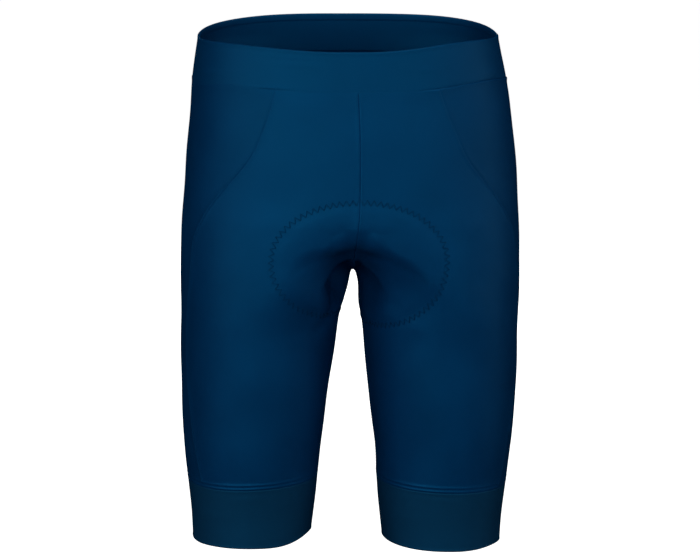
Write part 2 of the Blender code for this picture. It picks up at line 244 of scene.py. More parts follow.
SEAM_RAISE = 0.22
SEAM_SINKS = {"middle": 0.45, "side": 0.10}
SEAM_WIDTH = 2.6
SEAM_FADE = 1.6
SEAM_LINE = 0.5

WAIST_RIDGE = 0.35
WAIST_RIDGE_SIDES = 0.8
WAIST_RIDGE_SIDES_REACH = 0.4
WAIST_RIDGE_REACH = 3.6
WAIST_GROOVE = 0.40
WAIST_GROOVE_REACH = 0.6
# How deeply the waist seam is drawn in: hardly at all in front, and fully at the wearer's left hip.
SEAM_DRAWN_FRONT = 0.12
SEAM_DRAWN_BEHIND = 0.6
SEAM_DRAWN_FROM = 55.0
SEAM_DRAWN_LENGTH = 24.0
SEAM_DRAWN_TURN = 60.0

# The double ridge of the leg band's seam, as distances up from it and down from it.
BandRidge = namedtuple("BandRidge", "distance height reach")
PANEL_RIDGES = (
    BandRidge(5.6, 0.80, 1.3),
    BandRidge(1.7, 0.95, 1.2),
)
BAND_RIDGES = (BandRidge(1.4, 0.2, 1.2),)
RIDGE_LEAST = 0.22
RIDGE_ANGLES = {-1: -76.0, 1: -112.0}
RIDGE_ANGLE_REACH = 30.0
RIDGE_BEHIND = 0.75

# How the hems rise and dip, where turn is 0 at the outer side and -1 at the inner side in front.
HEM_RISES = (
    Rise(-1, -0.26, 0.8, 0.14),
    Rise(-1, -0.62, -1.8, 0.14),
    Rise(-1, -0.88, 3.6, 0.14),
    Rise(1, -0.20, 2.6, 0.16),
    Rise(1, -0.66, -0.4, 0.16),
    Rise(-1, 0.40, 1.2, 0.20),
    Rise(1, 0.55, -1.2, 0.20),
)

# The seat pad's oval, as in the solids, and the zigzag's as it shows, whose bottom hangs differently on each
# leg. Their tops are higher toward the back.
PAD_TOPS = {-1: -129.0, 1: -99.0}
Oval = namedtuple("Oval", "half_width middle bottoms squareness low_squareness")
PAD_OVAL = Oval(88.0, middle=-190.0, bottoms={-1: -255.0, 1: -255.0}, squareness=2.0, low_squareness=3.0)
SEWN_OVAL = Oval(86.0, middle=-188.0, bottoms={-1: -251.0, 1: -262.0}, squareness=2.05, low_squareness=2.05)
PAD_MOUND = 0.9
PAD_MOUND_SHARE = 0.16
PAD_GROOVE = 0.12
PAD_GROOVE_REACH = 3.0

# The bands' rows, as shares of their height, from the seam.
WAISTBAND_UPS = (0.0, 0.01, 0.022, 0.036, 0.055, 0.08, 0.12, 0.17, 0.22, 0.27, 0.32, 0.37, 0.42, 0.47)
WAISTBAND_UPS += (0.52, 0.57, 0.62, 0.67, 0.72, 0.77, 0.81, 0.84, 0.86, 0.88, 0.90, 0.92, 0.94, 0.96)
WAISTBAND_UPS += (0.975, 0.99, 1.0)
LEG_BAND_UPS = (0.0, 0.006, 0.013, 0.02, 0.027, 0.035, 0.045, 0.057, 0.072, 0.09, 0.12, 0.16, 0.21, 0.26)
LEG_BAND_UPS += (0.31, 0.36, 0.41, 0.47, 0.53, 0.59, 0.65, 0.71, 0.77, 0.83, 0.88, 0.92, 0.945, 0.965)
LEG_BAND_UPS += (0.98, 0.99, 1.0)
ROLL_STEPS = 9

# A band's place on the knit: its length round, its height, and how far the inside's is moved for each
# millimetre of cloth.
Knitted = namedtuple("Knitted", "round height inside")
WAISTBAND_KNITTED = Knitted(round=830.0, height=40.0, inside=20.0)
LEG_BAND_KNITTED = Knitted(round=400.0, height=61.0, inside=30.0)

TOP_BEAD = 0.3
TOP_BEAD_REACH = 2.2
HEM_BEAD = 0.25
HEM_BEAD_REACH = 1.6
SEAM_TUCK = 0.3
WAIST_TUCK_REACH = 0.9
LEG_TUCK_REACH = 0.5
INNER_FOLD = 0.5
INNER_FOLD_HEIGHT = 6.0
INNER_FOLD_EDGE = 0.8

# Short creases in the bands, by the angle round in degrees, as ridges, or troughs where the depth is below 0.
Crease = namedtuple("Crease", "side angle height slope length depth reach")
WAISTBAND_CREASES = (
    Crease(-1, -62, -19.4, 0.02, 9, 0.5, 1.1),
    Crease(-1, -72, 2.5, 0.10, 7, 0.45, 1.6),
    Crease(-1, -70, 7.0, 0.05, 9, -0.35, 1.5),
    Crease(1, -68, -2.0, -0.08, 6, 0.35, 1.5),
    Crease(1, -30, -8.0, 0.10, 9, 0.30, 3.0),
    Crease(-1, -30, -9.0, -0.12, 10, 0.35, 3.0),
    Crease(-1, 62, 4.0, 0.06, 8, 0.40, 1.8),
    Crease(1, 70, -1.0, -0.05, 9, -0.35, 1.8),
    Crease(1, 40, 6.0, 0.12, 7, 0.30, 2.0),
)
LEG_BAND_CREASES = (
    Crease(-1, -85, -433.0, 0.02, 14, 0.40, 1.3),
    Crease(-1, -50, -452.0, 0.05, 22, 0.30, 5.0),
    Crease(1, -95, -432.0, -0.03, 16, 0.35, 1.3),
    Crease(1, -130, -455.0, 0.04, 20, 0.30, 5.0),
    Crease(-1, 100, -434.0, 0.03, 15, 0.35, 1.5),
    Crease(1, 75, -446.0, -0.05, 20, 0.30, 4.0),
)

# The seat pad's lines, how far it lies under the form, more so where the crotch seams cross, and how thick it
# is at its sewn edge and in its middle.
PAD_HIP_ROWS = 34
PAD_LEG_ROWS = 14
PAD_COLUMNS = 30
PAD_FLAT_END = 3.0
PAD_UNDER = 1.85
PAD_CROSSING = 2.0
PAD_CROSSING_REACH = 12.0
PAD_EDGE = 1.5
PAD_FULL = 7.0
PAD_SLOPE = 0.4
PAD_STITCH_SINK = 0.6
PAD_STITCH_INSET = 5.0
PAD_STITCH_REACH = 1.5

# Sewing: steps along a seam, widths, thread thicknesses, and how a stitch arches from its two ends.
ZIGZAG_STEP = 3.2
ZIGZAG_WIDTH = 5.6
ZIGZAG_THREAD = 0.62
ZIGZAG_RISE = 0.16
ZIGZAG_LIFT = 0.25
ZIGZAG_SINK = 0.12
ZIGZAG_FROM_MIDDLE = 0.6
ZIGZAG_FROM_INSEAM = 0.3
STITCH_STEP = 1.5
STITCH_THREAD = 0.32
STITCH_LIFT = 0.10
STITCH_SINK = 0.30
STITCH_FROM_END = 1.0
STITCH_FLATNESS = 0.8
STITCH_TAPER = 0.72
STITCH_TAPER_POWER = 8
STITCH_ARCH_POWER = 0.7
SEAM_STITCH_COLUMNS = (5, -6)
SEAM_STITCH_ROWS = slice(4, -8)

# A flat cut's record: its pieces, each piece's width and length, and the share of that rectangle that it
# fills. None are listed.
Cut = namedtuple("Cut", "pieces width length share")

# How sharply a mesh's faces meet at an edge that isn't shaded smooth, in degrees, and how near to each other
# the pad's points are joined, in metres.
CLOTH_SHARP = 50.0
PAD_SHARP = 60.0
WELD = 1e-6

# The knits. A course's height is a share of a wale's width, and WAVE_SCALE gives a wave texture one band for
# each unit of its coordinates.
# A knit's colour runs from its shade to its colour with slow uneven tone, and with painted shade in the gaps
# between its loops.
Knit = namedtuple("Knit", "name colour shade roughness wale relief")
KNITS = (
    Knit("body_knit", (0.0006, 0.062, 0.215), (0.0004, 0.050, 0.178), 0.45, wale=0.9, relief=0.35),
    # The side-and-back panels' knit is a little darker than the front panels'.
    Knit("side_knit", (0.0006, 0.058, 0.202), (0.0004, 0.046, 0.166), 0.46, wale=0.9, relief=0.35),
    Knit("waistband_knit", (0.0006, 0.062, 0.204), (0.0004, 0.053, 0.176), 0.45, wale=0.8, relief=0.3),
    Knit("leg_band_knit", (0.0055, 0.066, 0.172), (0.0042, 0.055, 0.146), 0.52, wale=0.7, relief=0.3),
    Knit("pad_knit", (0.004, 0.016, 0.036), (0.003, 0.012, 0.028), 0.8, wale=1.6, relief=0.6),
)
WAVE_SCALE = 0.314
COURSE_SHARE = 0.8
FUZZ_SHARE = 0.55
# LOOP_SHADE: how far the knit's loops lift its colour over the gaps between them, which are painted shade.
LOOP_SHADE = 0.22
DARK_THREAD = (0.0010, 0.050, 0.168)
PLAIN_THREAD = (0.0010, 0.046, 0.140)
# THREAD_SHADE: the share of a thread's colour left in the grooves between its strands, which are painted
# shade.
THREAD_SHADE = 0.6
GLOSS_TINT = (0.02, 0.5, 1.0, 1.0)

# The floor, in metres.
FLOOR_HALF = 14.0
FLOOR_HEIGHT = -0.62

# Lamps, in degrees and metres: each one's angle from the front, turned to the wearer's left, its rise, size
# and power, and whether the cloth mirrors it. They all stand at one distance from the garment's middle.
LIGHT_MIDDLE = -0.22
LAMP_DISTANCE = 2.6
Lamp = namedtuple("Lamp", "name azimuth elevation width height power glosses")
LAMPS = (
    Lamp("key", -28, 10, 1.2, 1.4, 11.3, True),
    Lamp("fill", 20, 10, 1.2, 1.4, 6.4, True),
    Lamp("left", -66, 10, 1.1, 1.4, 6.2, True),
    Lamp("right", 76, 10, 1.1, 1.4, 4.9, True),
    Lamp("high", 30, 50, 1.1, 1.4, 4.6, True),
    Lamp("top", 0, 75, 1.1, 1.4, 8.4, True),
    Lamp("rear", -172, 18, 1.4, 1.4, 17.0, False),
    Lamp("rear_fill", 172, 15, 1.4, 1.4, 11.0, False),
)

# The camera: its distance across the floor, height and aim in metres, its turn to the wearer's right and its
# roll as angles, and its lens.
CAMERA_REACH = 3.6
CAMERA_HEIGHT = 0.4
CAMERA_AIM = -0.224
CAMERA_TURN = math.radians(-4.8)
CAMERA_ROLL = math.radians(0.5)
CAMERA_LENS = 187.9


def smooth(value):
    """From 0 to 1, level at both ends."""
    value = np.clip(value, 0.0, 1.0)
    return value * value * (3.0 - 2.0 * value)


def bump_at(distance, reach):
    """1 at no distance, fading softly over the reach."""
    return np.exp(-((distance / reach) ** 2))


def unit(vectors):
    return vectors / np.linalg.norm(vectors, axis=-1, keepdims=True)


def read_table(rows, column, height):
    """A column of a table at any height, on a smooth curve through its rows."""
    known = np.array([row.height for row in rows], float)[::-1]
    values = np.array([getattr(row, column) for row in rows], float)[::-1]
    slopes = np.gradient(values, known)
    height = np.clip(height, known[0], known[-1])
    i = np.clip(np.searchsorted(known, height) - 1, 0, len(known) - 2)
    step = known[i + 1] - known[i]
    u = (height - known[i]) / step
    return (
        values[i] * (1 + 2 * u) * (1 - u) ** 2
        + slopes[i] * step * u * (1 - u) ** 2
        + values[i + 1] * u * u * (3 - 2 * u)
        + slopes[i + 1] * step * u * u * (u - 1)
    )


def saddle(height):
    """How widely the cloth bridges from leg to leg at a height."""
    above = height - CROTCH
    rise = 0.5 * BRIDGE_SLOPE * (above + np.hypot(above, BRIDGE_BLEND) - BRIDGE_BLEND)
    fade = smooth((above - BRIDGE_FADES) / (BRIDGE_ENDS - BRIDGE_FADES))
    return SADDLE + BRIDGE * np.tanh(rise / BRIDGE) * (1.0 - fade)


def side_edge(height):
    """How far the ring's outer end is from the middle plane, before the saddle rounds it."""
    return np.hypot(read_table(RINGS, "side", height), saddle(height))


def inner_edge(height):
    """How far the ring's inner end is from the middle plane, before the saddle rounds it."""
    return SADDLE - THIGH_SLOPE * (height - CROTCH)


def ring_middle(height):
    """How far the ring's front and back points are from the middle plane."""
    leg = 0.5 * (side_edge(height) + inner_edge(np.minimum(height, CROTCH)))
    return leg * smooth((LEGS_BEGIN - height) / (LEGS_BEGIN - LEGS_APART))


def ring_reach(x, y, height):
    """How far a ring goes from its middle in the quarter that x and y are in: across, and front or back."""
    middle = ring_middle(height)
    across = np.where(x > middle, side_edge(height) - middle, middle - inner_edge(height))
    deep = np.where(y > 0, read_table(RINGS, "back", height), read_table(RINGS, "front", height))
    return across, deep


def end_angle(height):
    """The angle round the ring at which it meets the middle plane, or half a turn on a leg."""
    middle = ring_middle(height)
    past = saddle(height) - middle
    quarter = np.where(past < 0, middle - inner_edge(height), side_edge(height) - middle)
    share = np.abs(past) / np.maximum(quarter, np.abs(past))
    cosine = np.sign(past) * share ** (0.5 * read_table(RINGS, "squareness", height))
    return np.where(height <= CROTCH, math.pi, np.arccos(cosine))


def form_point(height, angle):
    """The form's point at a height and at an angle round its ring, on the wearer's left."""
    middle = ring_middle(height)
    cosine, sine = np.cos(angle), np.sin(angle)
    across, deep = ring_reach(middle + cosine, sine, height)
    power = 2.0 / read_table(RINGS, "squareness", height)
    x = middle + across * np.sign(cosine) * np.abs(cosine) ** power
    y = deep * np.sign(sine) * np.abs(sine) ** power
    x = np.sqrt(np.maximum(x * x - saddle(height) ** 2, 0.0))
    return np.stack([x, y, height + 0.0 * x], axis=-1)


def form_level(point):
    """Below 1 inside the form, 1 on it and above 1 outside."""
    y, height = point[..., 1], point[..., 2]
    x = np.hypot(point[..., 0], saddle(height))
    across, deep = ring_reach(x, y, height)
    squareness = read_table(RINGS, "squareness", height)
    return (np.abs(x - ring_middle(height)) / across) ** squareness + (np.abs(y) / deep) ** squareness


def outward(points):
    """The direction straight out of the form at each point."""
    step = 0.05
    slopes = [form_level(points + step * axis) - form_level(points - step * axis) for axis in np.eye(3)]
    return unit(np.stack(slopes, axis=-1))


def level(directions):
    """The directions with no rise or fall."""
    return directions * np.array([1.0, 1.0, 0.0])


def lengths_along(points):
    """How far along a line each of its points is."""
    return np.concatenate([[0.0], np.cumsum(np.linalg.norm(np.diff(points, axis=0), axis=1))])


def at_lengths(points, lengths, values=None):
    """A fine line's points, or values that belong to them, at these lengths along it."""
    along = lengths_along(points)
    values = points if values is None else values
    return np.stack([np.interp(lengths, along, values[:, axis]) for axis in range(3)], axis=-1)


def risen(rises, side, turn):
    """How far a side's rises lift an edge, at a turn round it."""
    total = 0.0 * turn
    for rise in rises:
        if rise.side == side:
            total = total + rise.height * bump_at(turn - rise.turn, rise.reach)
    return total


def waist_line(ends, powers, rises, side, turn):
    """The height of a waistband's edge, where turn is -1 at the front, 0 at the side and 1 at the back."""
    end = np.where(turn < 0, ends.front, ends.back)
    power = np.where(turn < 0, *powers)
    height = ends.side + (end - ends.side) * np.abs(np.sin(0.5 * math.pi * turn)) ** power
    return height + risen(rises, side, turn) * (1.0 - turn**4)


def middle_seam(toward):
    """The seam on the middle plane: shares of its length from the waist, and its height at each."""
    top = WAIST_SEAM.front if toward < 0 else WAIST_SEAM.back
    heights = CROTCH + (top - CROTCH) * np.linspace(1.0, 0.0, FINE) ** 2
    along = lengths_along(form_point(heights, toward * end_angle(heights)))
    return along / along[-1], heights


def body_line(row, side):
    """A fine line of points round half the body, or round a leg, from front to back, and their angles.

    row is 0 at the waist seam, 1 at the crotch and 2 at the leg band's seam.
    """
    turn = np.linspace(-1.0, 1.0, FINE)
    if row >= 1.0:
        height = np.full(FINE, CROTCH + (row - 1.0) * (BAND_SEAM - CROTCH))
    else:
        height = waist_line(WAIST_SEAM, SEAM_POWERS, WAIST_RISES, side, turn)
        height += row * (CROTCH - height)
        front, back = (np.interp(row, *middle_seam(toward)) for toward in (-1, 1))
        ends = np.where(turn < 0, front - height[0], back - height[-1])
        height += ends * np.abs(turn) ** ROW_BEND
    above = bump_at(row - 1.0, ROW_DIP_REACH)
    below = smooth((ROW_DIP_ENDS - row) / (ROW_DIP_ENDS - 1.0))
    dip = ROW_DIP * min(above, below)
    height = height - dip * np.sin(math.pi * np.clip(2.0 * np.abs(turn) - 1.0, 0.0, 1.0))
    angle = turn * end_angle(height)
    return form_point(height, angle), angle


def half_line(row, toward, side):
    """The body line's front or back stretch, from the middle seam out to the side seam."""
    line, angles = body_line(row, side)
    crossing = int(np.argmax(angles >= np.radians(read_table(SIDE_SEAM, "angle", line[:, 2]))))
    return line[: crossing + 1] if toward < 0 else line[crossing:][::-1]


def shifted(shift, across, height):
    return shift.distance * bump_at(height - shift.height, shift.tall) * bump_at(across, shift.wide)


def posed(points, leg):
    """The points on that leg's side of the body, as it hangs and as the waist and crotch are moved."""
    across, height = points[..., 0], points[..., 2]
    down = smooth((CROTCH - height) / (CROTCH - HEM))
    inwards = (ring_middle(height) - across) / TILT_REACH
    flare = HEM_FLARE * smooth((FLARE_FROM - height) / FLARE_LENGTH) * smooth(inwards)
    sway = SWAY * smooth((height - SWAY_FROM) / SWAY_LENGTH)
    gap = shifted(GAP_SHIFT, across, height)
    lean = shifted(SEAM_LEAN, across, height) * smooth(-points[..., 1] / LEDGE_FRONT)
    x = leg.side * (across + leg.lean * down - flare) + sway + gap + lean
    z = height + (leg.lift + leg.tilt * inwards) * down + shifted(CROTCH_LIFT, across, height)
    return np.stack([x, points[..., 1], z], axis=-1)


def folded_in(points, side):
    """How far that side's folds and ledges take the cloth in from the form."""
    folds = folds_depth(points, side, FOLDS) + folds_depth(points, side, SMALL_FOLDS)
    return folds + ledges_depth(points, side)


def ledges_depth(points, side):
    """How far in the ledges take the front. At the middle the two sides' ledges blend into each other."""
    across, height = points[..., 0], points[..., 2]
    total = np.zeros(points.shape[:-1])
    for ledge in LEDGES:
        own = smooth(0.5 + 0.5 * ledge.side * side * across / LEDGE_BLEND) * smooth(across / ledge.begin)
        below = np.interp(across, *zip(*ledge.line)) - height
        drop = smooth(below / ledge.fall) * (1.0 - smooth((below - ledge.hold) / ledge.rise))
        total += own * ledge.depth * drop * (1.0 - smooth((across - ledge.end) / ledge.fade))
    return total * smooth(-points[..., 1] / LEDGE_FRONT)


def folds_depth(points, side, folds):
    """How far in that side's folds take the cloth. Where they meet, the deepest trough and ridge count."""
    troughs = np.zeros(points.shape[:-1])
    ridges = np.zeros(points.shape[:-1])
    for fold in folds:
        if fold.side not in (0, side):
            continue
        heights = np.linspace(fold.height, fold.end_height, FOLD_POINTS)
        line = form_point(heights, np.radians(np.linspace(fold.angle, fold.end_angle, FOLD_POINTS)))
        distance = np.linalg.norm(points[..., None, :] - line, axis=-1).min(axis=-1)
        meets_other_side = smooth(points[..., 0] / FOLD_FADE) if fold.side else 1.0
        depth = fold.depth * meets_other_side * bump_at(distance, fold.reach)
        troughs = np.maximum(troughs, depth)
        ridges = np.minimum(ridges, depth)
    return troughs + ridges


def wander(points, side):
    """A very soft unevenness over the whole garment, the same where its two sides meet."""
    total = np.zeros(points.shape[:-1])
    for wave in WAVES:
        across = wave.across * side * points[..., 0] + wave.deep * points[..., 1] + wave.up * points[..., 2]
        total += wave.height * np.sin(2.0 * math.pi * (across + wave.shift))
    return total


def oval_level(points, oval, toward, side):
    """Below 1 inside an oval, as seen from the front or the back."""
    up = points[..., 2] - oval.middle
    reach = np.where(up > 0, PAD_TOPS[toward] - oval.middle, oval.middle - oval.bottoms[side])
    power = np.where(up > 0, oval.squareness, oval.low_squareness)
    across = np.abs(points[..., 0]) / oval.half_width
    return (across**power + np.abs(up / reach) ** power) ** (1.0 / power)


def seam_drawn(points, side):
    """The share of the waist seam's depth at a point beside it."""
    hip = max(side, 0) * smooth((points[..., 0] - SEAM_DRAWN_FROM) / SEAM_DRAWN_LENGTH)
    front = SEAM_DRAWN_FRONT + (1.0 - SEAM_DRAWN_FRONT) * hip
    return front + (SEAM_DRAWN_BEHIND - front) * smooth(0.5 + points[..., 1] / SEAM_DRAWN_TURN)


def ridge_share(angle, side):
    """How strongly a leg band's seam stands at an angle round the leg: most in front, where it is eased."""
    front = bump_at(np.degrees(angle) - RIDGE_ANGLES[side], RIDGE_ANGLE_REACH)
    behind = RIDGE_BEHIND * bump_at(np.degrees(angle) - 90.0, 2.0 * RIDGE_ANGLE_REACH)
    return RIDGE_LEAST + (1.0 - RIDGE_LEAST) * np.maximum(front, behind)


def ring_angle(points):
    """The angle round its ring of a point on a leg, as form_point has it."""
    x, y, height = points[..., 0], points[..., 1], points[..., 2]
    across, deep = ring_reach(x, y, height)
    power = 0.5 * read_table(RINGS, "squareness", height)
    x, y = (x - ring_middle(height)) / across, y / deep
    return np.arctan2(np.sign(y) * np.abs(y) ** power, np.sign(x) * np.abs(x) ** power)


def ridges_relief(ridges, distance):
    """How far a band seam's ridges stand out, at a distance from it."""
    return sum(ridge.height * bump_at(distance - ridge.distance, ridge.reach) for ridge in ridges)


def creases_relief(creases, side, degrees, height):
    """How far a side's creases stand out, at an angle round and a height."""
    total = 0.0 * height
    for crease in creases:
        if crease.side == side:
            along = degrees - crease.angle
            bowed = height - crease.height - crease.slope * along
            total = total + crease.depth * bump_at(along, crease.length) * bump_at(bowed, crease.reach)
    return total


def seam_relief(distance, seam):
    """How cloth stands beside a flat sewn seam: raised over the seam's width, sunk at its line."""
    raised = SEAM_RAISE * (1.0 - smooth((distance - SEAM_WIDTH) / SEAM_FADE))
    return raised - (SEAM_RAISE + SEAM_SINKS[seam]) * bump_at(distance, SEAM_LINE)


# ---------------- Meshes


def new_piece(name, points, faces, material, sharp=None, corners=None, weld=None):
    """A smooth-shaded piece from millimetre points and its faces, with their (u, v) corners if it has any."""
    mesh = bpy.data.meshes.new(name)
    mesh.from_pydata((np.asarray(points) * METRE).tolist(), [], faces)
    if corners is not None:
        layer = mesh.uv_layers.new(name="cloth")
        layer.data.foreach_set("uv", np.asarray(corners, np.float32).reshape(-1))
    shell = bmesh.new()
    shell.from_mesh(mesh)
    if weld:
        bmesh.ops.remove_doubles(shell, verts=shell.verts, dist=weld)
    bmesh.ops.recalc_face_normals(shell, faces=shell.faces)
    shell.to_mesh(mesh)
    shell.free()
    mesh.shade_smooth()
    if sharp:
        mesh.set_sharp_from_angle(angle=math.radians(sharp))
    mesh.materials.append(material)
    piece = bpy.data.objects.new(name, mesh)
    bpy.context.scene.collection.objects.link(piece)
    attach(piece, "root")
    return piece


def quads(rows, columns, first=0, wrap_rows=False, wrap_columns=False):
    """The point numbers of a grid's cells, and for each corner its row and column, not wrapped."""
    r, c = np.meshgrid(
        np.arange(rows if wrap_rows else rows - 1),
        np.arange(columns if wrap_columns else columns - 1),
        indexing="ij",
    )
    r = np.stack([r, r, r + 1, r + 1], axis=-1).reshape(-1, 4)
    c = np.stack([c, c + 1, c + 1, c], axis=-1).reshape(-1, 4)
    return first + (r % rows) * columns + (c % columns), r, c


def rim(edge, step):
    """The faces that join an edge's points to those a step of numbers on."""
    return np.stack([edge[:-1], edge[1:], edge[1:] + step, edge[:-1] + step], axis=-1)


def wall_mesh(name, outer, inner, across, along, material):
    """A closed wall from outer and inner grids, with each point's place across and along the flat cloth."""
    rows, columns = outer.shape[:2]
    count = rows * columns
    faces, r, c = quads(rows, columns)
    flat = np.stack([across[r, c], along[r, c]], axis=-1)
    numbers = np.arange(count).reshape(rows, columns)
    rims, rim_flats = [], []
    for edge in ((0, slice(None)), (-1, slice(None)), (slice(None), 0), (slice(None), -1)):
        place = np.stack([across[edge], along[edge]], axis=-1)
        rims.append(rim(numbers[edge], count))
        rim_flats.append(np.stack([place[:-1], place[1:], place[1:], place[:-1]], axis=1))
    points = np.concatenate([outer.reshape(-1, 3), inner.reshape(-1, 3)])
    faces = np.concatenate([faces, faces[:, ::-1] + count, *rims])
    corners = np.concatenate([flat, flat[:, ::-1], *rim_flats])
    return new_piece(name, points, faces.tolist(), material, CLOTH_SHARP, corners)


def stitch_mesh(name, paths, up, thickness, material, sides=6):
    """Joined stitches: each is a short tube along its own path, flatter than it is wide, with closed ends."""
    count, steps = paths.shape[:2]
    tangent = unit(np.gradient(paths, axis=1))
    wide = unit(np.cross(tangent, up[:, None, :]))
    high = np.cross(wide, tangent)
    turn = np.linspace(0.0, 2.0 * math.pi, sides, endpoint=False)[:, None]
    share = np.linspace(-1.0, 1.0, steps)
    radius = 0.5 * thickness * np.sqrt(1.0 - STITCH_TAPER * share**STITCH_TAPER_POWER)
    ring = np.cos(turn) * wide[:, :, None, :] + STITCH_FLATNESS * np.sin(turn) * high[:, :, None, :]
    tubes = paths[:, :, None, :] + radius[None, :, None, None] * ring
    walls, _, _ = quads(steps, sides, wrap_columns=True)
    starts = steps * sides * np.arange(count)[:, None]
    ends = np.concatenate([starts + np.arange(sides) + first for first in (0, (steps - 1) * sides)])
    faces = (walls[None] + starts[:, :, None]).reshape(-1, 4).tolist() + ends.tolist()
    return new_piece(name, tubes.reshape(-1, 3), faces, material)


# ---------------- Cloth pieces


def spread(total, steps, count):
    """Lengths from one edge to the other: fine steps beside both edges, and even ones between."""
    steps = np.array(steps)
    between = np.linspace(steps[-1], total - steps[-1], count + 1)[1:-1]
    return np.concatenate([steps, between, (total - steps)[::-1]])


def panel_rows():
    """The panels' rows: fine steps by the two bands, and even ones on the hips and legs."""
    top = np.array(WAIST_STEPS) / HIP_LENGTH
    bottom = 2.0 - np.array(BAND_STEPS)[::-1] / LEG_LENGTH
    hips = np.linspace(top[-1], 1.0, HIP_ROWS + 1)[1:]
    legs = np.linspace(1.0, bottom[0], LEG_ROWS + 1)[1:-1]
    return np.concatenate([top, hips, legs, bottom])


def soft_relief(points, toward, side):
    """How far the folds, the unevenness, the seat pad's mound and its sewn edge take the cloth out."""
    sewn = oval_level(points, SEWN_OVAL, toward, side)
    mound = PAD_MOUND * smooth((1.0 - sewn) / PAD_MOUND_SHARE)
    groove = PAD_GROOVE * bump_at((sewn - 1.0) * SEWN_OVAL.half_width, PAD_GROOVE_REACH)
    return wander(points, side) - folded_in(points, side) + mound - groove


def panel_surface(leg, toward):
    """A panel's outer points before its leg hangs, their directions out, and their places on the cloth."""
    rows = panel_rows()
    grid, across = [], []
    for row in rows:
        line = half_line(row, toward, leg.side)
        across.append(spread(lengths_along(line)[-1], EDGE_STEPS, PANEL_COLUMNS))
        grid.append(at_lengths(line, across[-1]))
    grid, across = np.array(grid), np.array(across)
    out = outward(grid)
    from_waist = (rows * HIP_LENGTH)[:, None] + 0.0 * across
    from_band = ((2.0 - rows) * LEG_LENGTH)[:, None]
    from_side = across[:, -1:] + EDGE_STEPS[0] - across
    relief = soft_relief(grid, toward, leg.side)
    relief *= smooth(from_waist / RELIEF_FADE) * smooth(from_band / RELIEF_FADE)
    between = smooth(from_waist / SEAMS_FROM_WAIST) * smooth((from_band - SEAMS_FROM_BAND) / SEAMS_FADE)
    relief += between * (seam_relief(across, "middle") + seam_relief(from_side, "side"))
    ridge = WAIST_RIDGE + WAIST_RIDGE_SIDES * bump_at(grid[..., 1] / grid[..., 0], WAIST_RIDGE_SIDES_REACH)
    waist = ridge * bump_at(from_waist, WAIST_RIDGE_REACH)
    waist -= (ridge + WAIST_GROOVE) * bump_at(from_waist, WAIST_GROOVE_REACH)
    relief += seam_drawn(grid, leg.side) * waist
    relief += ridge_share(ring_angle(grid), leg.side) * ridges_relief(PANEL_RIDGES, from_band)
    return grid + out * relief[..., None], out, across, from_waist


def panel(leg, toward, material):
    """A front panel, or a side-and-back one: its outer points, and what one millimetre out is at each."""
    name = ("front_" if toward < 0 else "back_") + leg.name
    surface, out, across, along = panel_surface(leg, toward)
    outer, inner = posed(surface, leg), posed(surface - PANEL_CLOTH * out, leg)
    piece = wall_mesh("shell_" + name, outer, inner, across, along, material)
    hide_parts(name)
    return outer, posed(surface + out, leg) - outer


def wall_profile(ups, cloth):
    """A band's wall in section: shares of its height, rises past it, insets, and 1 where it is outside."""
    half = 0.5 * cloth
    outside = [(up, 0.0, 0.0, 1.0) for up in ups]
    turned = np.linspace(0.0, math.pi, ROLL_STEPS)[1:-1]
    roll = [(1.0, half * math.sin(angle), half * (1.0 - math.cos(angle)), 0.0) for angle in turned]
    inside = [(up, 0.0, cloth, 0.0) for up in reversed(ups)]
    return np.array(outside + roll + inside).T[:, :, None]


def band_tube(node, rings, share, inset, knitted, material):
    """A band's shell: each row of rings is one line right round it, and the rows close on each other."""
    around = np.concatenate([lengths_along(rings[0]), [knitted.round]])
    down = np.concatenate([(share * knitted.height + inset * knitted.inside)[:, 0], [2.0 * knitted.height]])
    faces, r, c = quads(*rings.shape[:2], wrap_rows=True, wrap_columns=True)
    corners = np.stack([around[c], down[r]], axis=-1)
    piece = new_piece("shell_" + node, rings.reshape(-1, 3), faces.tolist(), material, CLOTH_SHARP, corners)
    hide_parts(node)


def waistband(material):
    """A tube of double cloth from the waist seam up to its rolled top, with a light fold line inside."""
    share, past, inset, outside = wall_profile(WAISTBAND_UPS, WAISTBAND_CLOTH)
    turn = np.linspace(-1.0, 1.0, RING_COLUMNS + 1)
    halves = []
    for leg in LEGS:
        seam = waist_line(WAIST_SEAM, SEAM_POWERS, WAIST_RISES, leg.side, turn) + EDGE_STEPS[0]
        top = waist_line(TOP_ENDS, TOP_POWERS, TOP_RISES, leg.side, turn) - 0.5 * WAISTBAND_CLOTH
        height = seam + share * (top - seam) + past
        angle = turn * end_angle(height)
        grid = form_point(height, angle)
        from_top, from_seam = top - height, height - seam
        corner = smooth((height - BACK_CORNER_FROM) / BACK_CORNER_LENGTH) * np.sin(2.0 * angle) ** 2
        bead = TOP_BEAD * bump_at(from_top, TOP_BEAD_REACH)
        tuck = SEAM_TUCK * seam_drawn(grid, leg.side) * bump_at(from_seam, WAIST_TUCK_REACH)
        relief = bead - tuck + creases_relief(WAISTBAND_CREASES, leg.side, turn * 90.0, height)
        fold = INNER_FOLD * smooth((INNER_FOLD_HEIGHT - from_top) / INNER_FOLD_EDGE) * smooth(from_top + 0.5)
        moved = np.where(outside > 0, relief, -fold) + np.where(turn > 0, BACK_CORNER * corner, 0.0) - inset
        halves.append(posed(grid + level(outward(grid)) * moved[..., None], leg))
    rings = np.concatenate([halves[0], halves[1][:, -2:0:-1]], axis=1)
    band_tube("waistband", rings, share, inset, WAISTBAND_KNITTED, material)


